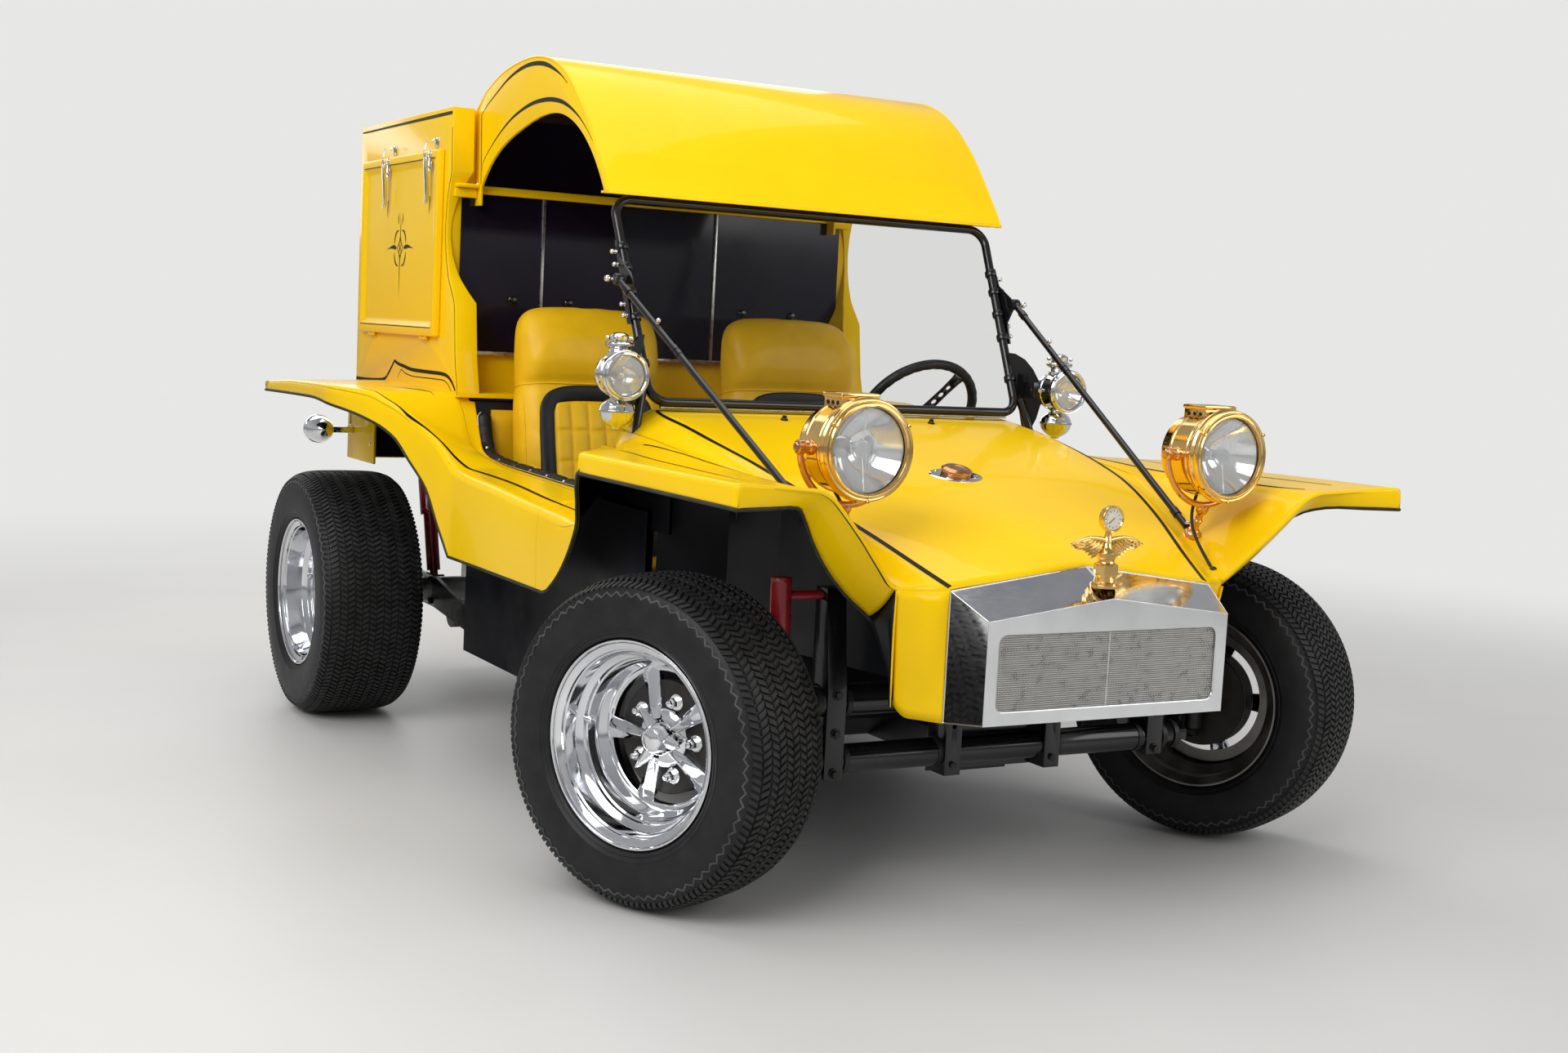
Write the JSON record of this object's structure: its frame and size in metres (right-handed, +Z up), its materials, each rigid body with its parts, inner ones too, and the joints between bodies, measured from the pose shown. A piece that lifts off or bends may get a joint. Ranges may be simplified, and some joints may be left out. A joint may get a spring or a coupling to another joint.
{
  "type": "dune buggy",
  "caption": "Open fibreglass dune buggy with a raised rear load box, arched roof, brass lamps, bucket seats, steering, turning wheels and side hatches.",
  "frame": {"origin": "ground level under the middle of the vehicle's length and width", "axes": "+X forward, +Y to the vehicle's left, +Z up"},
  "size_m": [3, 1.946, 1.8206],
  "materials": {
    "body_yellow": "glossy painted moulding",
    "black_paint": "satin black paint",
    "black_gloss": "gloss black paint",
    "chrome": "polished",
    "stainless": "woven and polished",
    "brass": "polished",
    "copper": "lightly aged copper",
    "rim_chrome": "polished",
    "tyre": "matt black",
    "iron": "dark iron",
    "engine_alloy": "cast alloy",
    "exhaust_steel": "heat-proof black",
    "yellow_vinyl": "grained vinyl",
    "black_vinyl": "tufted vinyl",
    "clear_glass": "clear",
    "dark_glass": "dark tinted",
    "red_glass": "red lens",
    "rubber_lead": "black lead",
    "damper_red": "red and black damper",
    "wheel_black": "padded rim, black"
  },
  "bodies": {
    "chassis": {"floor_pan": "black_paint", "front_beam": "black_gloss", "transaxle": "engine_alloy", "rear_springs": "black_gloss", "engine": "engine_alloy", "exhaust": "exhaust_steel", "body_tub": "body_yellow", "inner_front": "black_paint", "load_box": "body_yellow", "box_windows": "dark_glass", "roof": "body_yellow", "windshield_frame": "black_gloss", "windshield_glass": "clear_glass", "grille_shell": "chrome", "grille_mesh": "stainless", "radiator_cap": "brass", "dashboard": "black_vinyl", "steering_column": "black_gloss", "filler_cap": "copper", "cabin_controls": "black_gloss", "bulkhead_pad": "yellow_vinyl", "axle_links": "black_gloss", "dampers": "damper_red", "latch_catches": "chrome", "windshield_braces": "black_gloss", "headlamps": "brass", "lamp_lenses": "clear_glass", "lamp_forks": "copper", "cowl_lamps": "chrome", "tail_lamps": "chrome", "tail_lenses": "red_glass", "lamp_leads": "rubber_lead", "seat_frames": "black_paint", "coamings": "black_vinyl", "seat_back_right": "yellow_vinyl", "seat_back_left": "yellow_vinyl", "seat_cushion_right": "yellow_vinyl", "seat_cushion_left": "yellow_vinyl"},
    "hatch_right": {"hatch_right": "body_yellow", "latches_right": "chrome"},
    "hatch_left": {"hatch_left": "body_yellow", "latches_left": "chrome"},
    "knuckle_right": {"knuckle_right": "iron"},
    "knuckle_left": {"knuckle_left": "iron"},
    "tie_rod": {"tie_rod": "black_gloss"},
    "steering_wheel": {"steering_wheel": "wheel_black"},
    "wheel_front_right": {"tyre_front_right": "tyre", "rim_front_right": "rim_chrome", "drum_front_right": "iron"},
    "wheel_front_left": {"tyre_front_left": "tyre", "rim_front_left": "rim_chrome", "drum_front_left": "iron"},
    "wheel_rear_right": {"tyre_rear_right": "tyre", "rim_rear_right": "rim_chrome", "drum_rear_right": "iron"},
    "wheel_rear_left": {"tyre_rear_left": "tyre", "rim_rear_left": "rim_chrome", "drum_rear_left": "iron"}
  },
  "joints": [
    {"name": "steer_right", "type": "hinge", "parent": "chassis", "child": "knuckle_right", "pos_m": [1.01, -0.668, 0.333], "axis": [0, 0, 1], "range_deg": [-52, 4]},
    {"name": "steer_left", "type": "hinge", "parent": "chassis", "child": "knuckle_left", "pos_m": [1.01, 0.668, 0.333], "axis": [0, 0, 1], "range_deg": [-52, 4]},
    {"name": "tie_rod_pivot", "type": "hinge", "parent": "knuckle_right", "child": "tie_rod", "pos_m": [0.90072, -0.71757, 0.33], "axis": [0, 0, 1], "range_deg": [-4.2, 52.2]},
    {"name": "steering_wheel_turn", "type": "hinge", "parent": "chassis", "child": "steering_wheel", "pos_m": [0.25, 0.33, 0.95], "axis": [-0.8387, 0, 0.5446], "range_deg": [-730, 57]},
    {"name": "spin_front_right", "type": "hinge", "parent": "knuckle_right", "child": "wheel_front_right", "pos_m": [1.01, -0.668, 0.333], "axis": [-0.4131, 0.9107, 0], "continuous": true},
    {"name": "spin_front_left", "type": "hinge", "parent": "knuckle_left", "child": "wheel_front_left", "pos_m": [1.01, 0.668, 0.333], "axis": [-0.4131, 0.9107, 0], "continuous": true},
    {"name": "spin_rear_right", "type": "hinge", "parent": "chassis", "child": "wheel_rear_right", "pos_m": [-0.93, -0.7, 0.347], "axis": [0, 1, 0], "continuous": true},
    {"name": "spin_rear_left", "type": "hinge", "parent": "chassis", "child": "wheel_rear_left", "pos_m": [-0.93, 0.7, 0.347], "axis": [0, 1, 0], "continuous": true},
    {"name": "hatch_right_hinge", "type": "hinge", "parent": "chassis", "child": "hatch_right", "pos_m": [-1.045, -0.655, 1.083], "axis": [1, 0, 0], "range_deg": [0, 95]},
    {"name": "hatch_left_hinge", "type": "hinge", "parent": "chassis", "child": "hatch_left", "pos_m": [-1.045, 0.655, 1.083], "axis": [-1, 0, 0], "range_deg": [0, 95]}
  ],
  "couplings": [
    {"joint": "steer_left", "follows": "steer_right", "ratio": 1},
    {"joint": "tie_rod_pivot", "follows": "steer_right", "ratio": -1},
    {"joint": "steering_wheel_turn", "follows": "steer_right", "ratio": 14}
  ]
}
